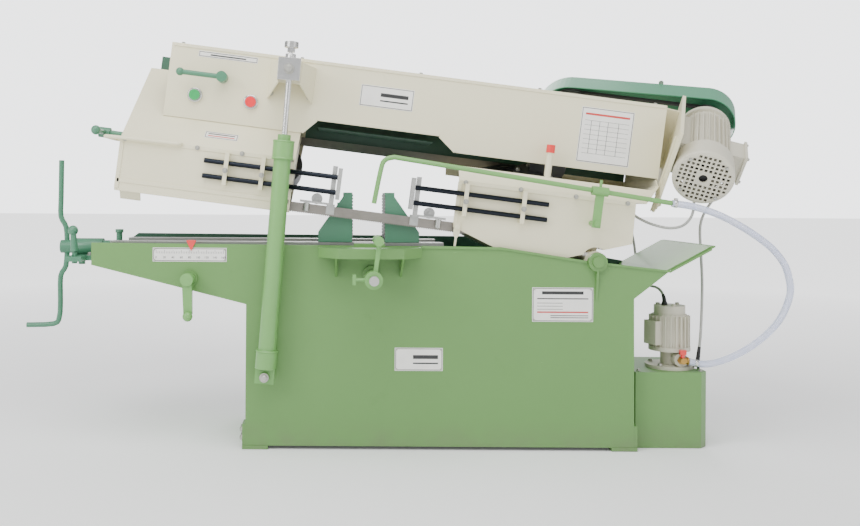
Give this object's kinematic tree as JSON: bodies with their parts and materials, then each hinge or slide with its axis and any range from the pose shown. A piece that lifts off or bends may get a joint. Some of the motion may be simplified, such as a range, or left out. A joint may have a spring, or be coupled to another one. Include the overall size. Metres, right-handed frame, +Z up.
{
  "type": "horizontal metal-cutting bandsaw machine",
  "caption": "Hinge-type horizontal bandsaw: sheet-steel base, swinging bow on a hydraulic feed cylinder, screw vise, drive motor and flood coolant pump.",
  "frame": {"origin": "on the floor, centred between the four foundation bolt holes", "axes": "+X along the machine from the vise screw's crank to the hinge and motor end, +Y from the operator's side to the back, +Z up"},
  "size_m": [2.2818, 0.7742, 1.1898],
  "materials": {
    "base_paint": "smooth enamel",
    "cylinder_paint": "smooth enamel",
    "dark_paint": "enamel",
    "lever_paint": "enamel",
    "beige_paint": "smooth enamel",
    "motor_paint": "cast paint",
    "ground_steel": "ground",
    "black_steel": "blued",
    "cast_iron": "machined cast iron",
    "bright_steel": "plated",
    "red_plastic": "gloss",
    "green_plastic": "gloss",
    "belt_rubber": "matt",
    "cable": "matt",
    "clear_hose": "clear vinyl"
  },
  "bodies": {
    "base": {"front_panel": "base_paint", "back_panel": "dark_paint", "end_sheets": "base_paint", "chip_pan": "dark_paint", "bed_ways": "ground_steel", "base_feet": "base_paint", "chip_tray": "base_paint", "outfeed_shelf": "base_paint", "hinge_pivot": "base_paint", "fixed_jaw": "lever_paint", "screw_bracket": "lever_paint", "coolant_tank": "base_paint", "coolant_pump": "motor_paint", "coolant_hose": "clear_hose", "motor_cable": "cable", "pump_cable": "cable"},
    "pump_tap": {"pump_tap": "red_plastic"},
    "moving_jaw": {"moving_jaw": "lever_paint"},
    "vise_screw": {"vise_screw": "lever_paint"},
    "vise_lock_lever": {"vise_lock_lever": "lever_paint"},
    "stop_shaft": {"stop_shaft": "ground_steel"},
    "stop_arm": {"stop_arm": "cylinder_paint"},
    "pressure_crank": {"pressure_crank": "cylinder_paint"},
    "scale_pointer": {"scale_pointer": "red_plastic"},
    "cylinder": {"cylinder_tube": "cylinder_paint"},
    "piston_rod": {"piston_rod": "bright_steel", "rod_end_block": "bright_steel"},
    "feed_knob": {"feed_knob": "bright_steel"},
    "bow": {"bow_casing": "beige_paint", "left_wheel_guard": "beige_paint", "right_wheel_guard": "beige_paint", "back_cover": "dark_paint", "saw_blade": "ground_steel", "arm_hinge_tube": "beige_paint", "gearbox": "cast_iron", "motor_body": "motor_paint", "motor_cowl": "motor_paint", "motor_mount": "beige_paint", "belt_guard": "lever_paint", "drive_belts": "belt_rubber", "cylinder_bracket": "beige_paint", "guide_clamps": "beige_paint", "lift_handle": "beige_paint", "oil_filler": "beige_paint", "pipe_clamp": "cylinder_paint", "switch_cable": "cable"},
    "gearbox_pulley": {"gearbox_pulley": "cast_iron"},
    "motor_pulley": {"motor_pulley": "cast_iron"},
    "left_guide": {"left_guide": "black_steel"},
    "right_guide": {"right_guide": "black_steel"},
    "left_roller": {"left_roller": "ground_steel"},
    "right_roller": {"right_roller": "ground_steel"},
    "idler_wheel": {"idler_wheel": "cast_iron"},
    "drive_wheel": {"drive_wheel": "cast_iron"},
    "idler_carriage": {"idler_carriage": "ground_steel"},
    "tension_handle": {"tension_handle": "lever_paint"},
    "start_button": {"start_button": "green_plastic"},
    "stop_button": {"stop_button": "red_plastic"},
    "feed_lever": {"feed_lever": "lever_paint"},
    "coolant_pipe": {"coolant_pipe": "cylinder_paint"}
  },
  "joints": [
    {"name": "bow_lift", "type": "hinge", "parent": "base", "child": "bow", "pos_m": [0.4474, 0, 0.5428], "axis": [0, 1, 0], "range_deg": [-6.1, 16], "deforming": ["coolant_hose", "motor_cable", "pump_cable"]},
    {"name": "cylinder_foot", "type": "hinge", "parent": "base", "child": "cylinder", "pos_m": [-0.4995, -0.255, 0.218], "axis": [0, 1, 0], "range_deg": [-3.57, 8.88]},
    {"name": "rod_end_pin", "type": "hinge", "parent": "bow", "child": "piston_rod", "pos_m": [-0.43467, -0.255, 1.0803], "axis": [0, 1, 0], "range_deg": [-7.72, 3.13]},
    {"name": "feed_needle", "type": "hinge", "parent": "piston_rod", "child": "feed_knob", "pos_m": [-0.43467, -0.255, 1.0803], "axis": [0.075, 0, 0.9972], "range_deg": [0, 720]},
    {"name": "jaw_slide", "type": "slide", "parent": "base", "child": "moving_jaw", "axis": [1, 0, 0], "range_m": [-0.078, 0.09]},
    {"name": "vise_screw_turn", "type": "hinge", "parent": "base", "child": "vise_screw", "pos_m": [-1.132, -0.01, 0.567], "axis": [1, 0, 0], "range_deg": [-4680, 5400]},
    {"name": "vise_lock", "type": "hinge", "parent": "base", "child": "vise_lock_lever", "pos_m": [-1.08, -0.11, 0.54], "axis": [0, 0, 1], "range_deg": [-60, 60]},
    {"name": "stop_reach", "type": "slide", "parent": "base", "child": "stop_shaft", "axis": [0, 1, 0], "range_m": [-0.05, 0.05]},
    {"name": "stop_swing", "type": "hinge", "parent": "stop_shaft", "child": "stop_arm", "pos_m": [-0.2, -0.405, 0.504], "axis": [0, 1, 0], "range_deg": [-20, 20]},
    {"name": "pressure_turn", "type": "hinge", "parent": "base", "child": "pressure_crank", "pos_m": [-0.721, -0.24, 0.488], "axis": [0, 1, 0], "range_deg": [-45, 45]},
    {"name": "pointer_slide", "type": "slide", "parent": "base", "child": "scale_pointer", "axis": [1, 0, 0], "range_m": [-0.08, 0.08]},
    {"name": "tap_turn", "type": "hinge", "parent": "base", "child": "pump_tap", "pos_m": [0.718, -0.151, 0.265], "axis": [0, 0, 1], "range_deg": [0, 90]},
    {"name": "gearbox_pulley_spin", "type": "hinge", "parent": "bow", "child": "gearbox_pulley", "pos_m": [0.49133, 0.26222, 1.01066], "axis": [0.3357, 0.8152, 0.472], "continuous": true},
    {"name": "motor_pulley_spin", "type": "hinge", "parent": "bow", "child": "motor_pulley", "pos_m": [0.88503, 0.11603, 0.98315], "axis": [0.3357, 0.8152, 0.472], "continuous": true},
    {"name": "drive_wheel_spin", "type": "hinge", "parent": "bow", "child": "drive_wheel", "pos_m": [0.28726, -0.01039, 0.71559], "axis": [0.1034, -0.5299, 0.8417], "continuous": true},
    {"name": "idler_slide", "type": "slide", "parent": "bow", "child": "idler_carriage", "axis": [0.9925, 0, -0.1219], "range_m": [0, 0.012]},
    {"name": "idler_wheel_spin", "type": "hinge", "parent": "idler_carriage", "child": "idler_wheel", "pos_m": [-0.60603, -0.01039, 0.82527], "axis": [0.1034, -0.5299, 0.8417], "continuous": true},
    {"name": "tension_turn", "type": "hinge", "parent": "bow", "child": "tension_handle", "pos_m": [-0.81922, -0.03689, 0.89417], "axis": [0.9925, 0, -0.1219], "range_deg": [0, 2160]},
    {"name": "left_guide_slide", "type": "slide", "parent": "bow", "child": "left_guide", "axis": [0.9925, 0, -0.1219], "range_m": [-0.015, 0.05]},
    {"name": "right_guide_slide", "type": "slide", "parent": "bow", "child": "right_guide", "axis": [0.9925, 0, -0.1219], "range_m": [-0.05, 0.015]},
    {"name": "left_roller_spin", "type": "hinge", "parent": "left_guide", "child": "left_roller", "pos_m": [-0.38819, -0.1902, 0.69577], "axis": [0.1219, 0, 0.9925], "continuous": true},
    {"name": "right_roller_spin", "type": "hinge", "parent": "right_guide", "child": "right_roller", "pos_m": [-0.00705, -0.1902, 0.64897], "axis": [0.1219, 0, 0.9925], "continuous": true},
    {"name": "start_press", "type": "slide", "parent": "bow", "child": "start_button", "axis": [0, 1, 0], "range_m": [0, 0.004], "stiffness_N_per_m": 400},
    {"name": "stop_press", "type": "slide", "parent": "bow", "child": "stop_button", "axis": [0, 1, 0], "range_m": [0, 0.004], "stiffness_N_per_m": 400},
    {"name": "feed_valve", "type": "hinge", "parent": "bow", "child": "feed_lever", "pos_m": [-0.63981, -0.14, 1.07527], "axis": [0, 1, 0], "range_deg": [-60, 30]},
    {"name": "pipe_swivel", "type": "hinge", "parent": "bow", "child": "coolant_pipe", "pos_m": [0.44501, -0.246, 0.7449], "axis": [-0.9925, 0, 0.1219], "range_deg": [-20, 20]}
  ],
  "couplings": [
    {"joint": "cylinder_foot", "follows": "bow_lift", "ratio": 0.536},
    {"joint": "rod_end_pin", "follows": "bow_lift", "ratio": -0.464},
    {"joint": "jaw_slide", "follows": "vise_screw_turn", "m_per_rad": 0.00095493},
    {"joint": "pointer_slide", "follows": "pressure_turn", "m_per_rad": 0.1},
    {"joint": "motor_pulley_spin", "follows": "gearbox_pulley_spin", "ratio": 1.913},
    {"joint": "drive_wheel_spin", "follows": "gearbox_pulley_spin", "ratio": 0.033333},
    {"joint": "idler_wheel_spin", "follows": "gearbox_pulley_spin", "ratio": 0.033333},
    {"joint": "idler_slide", "follows": "tension_turn", "m_per_rad": 0.00031831}
  ]
}
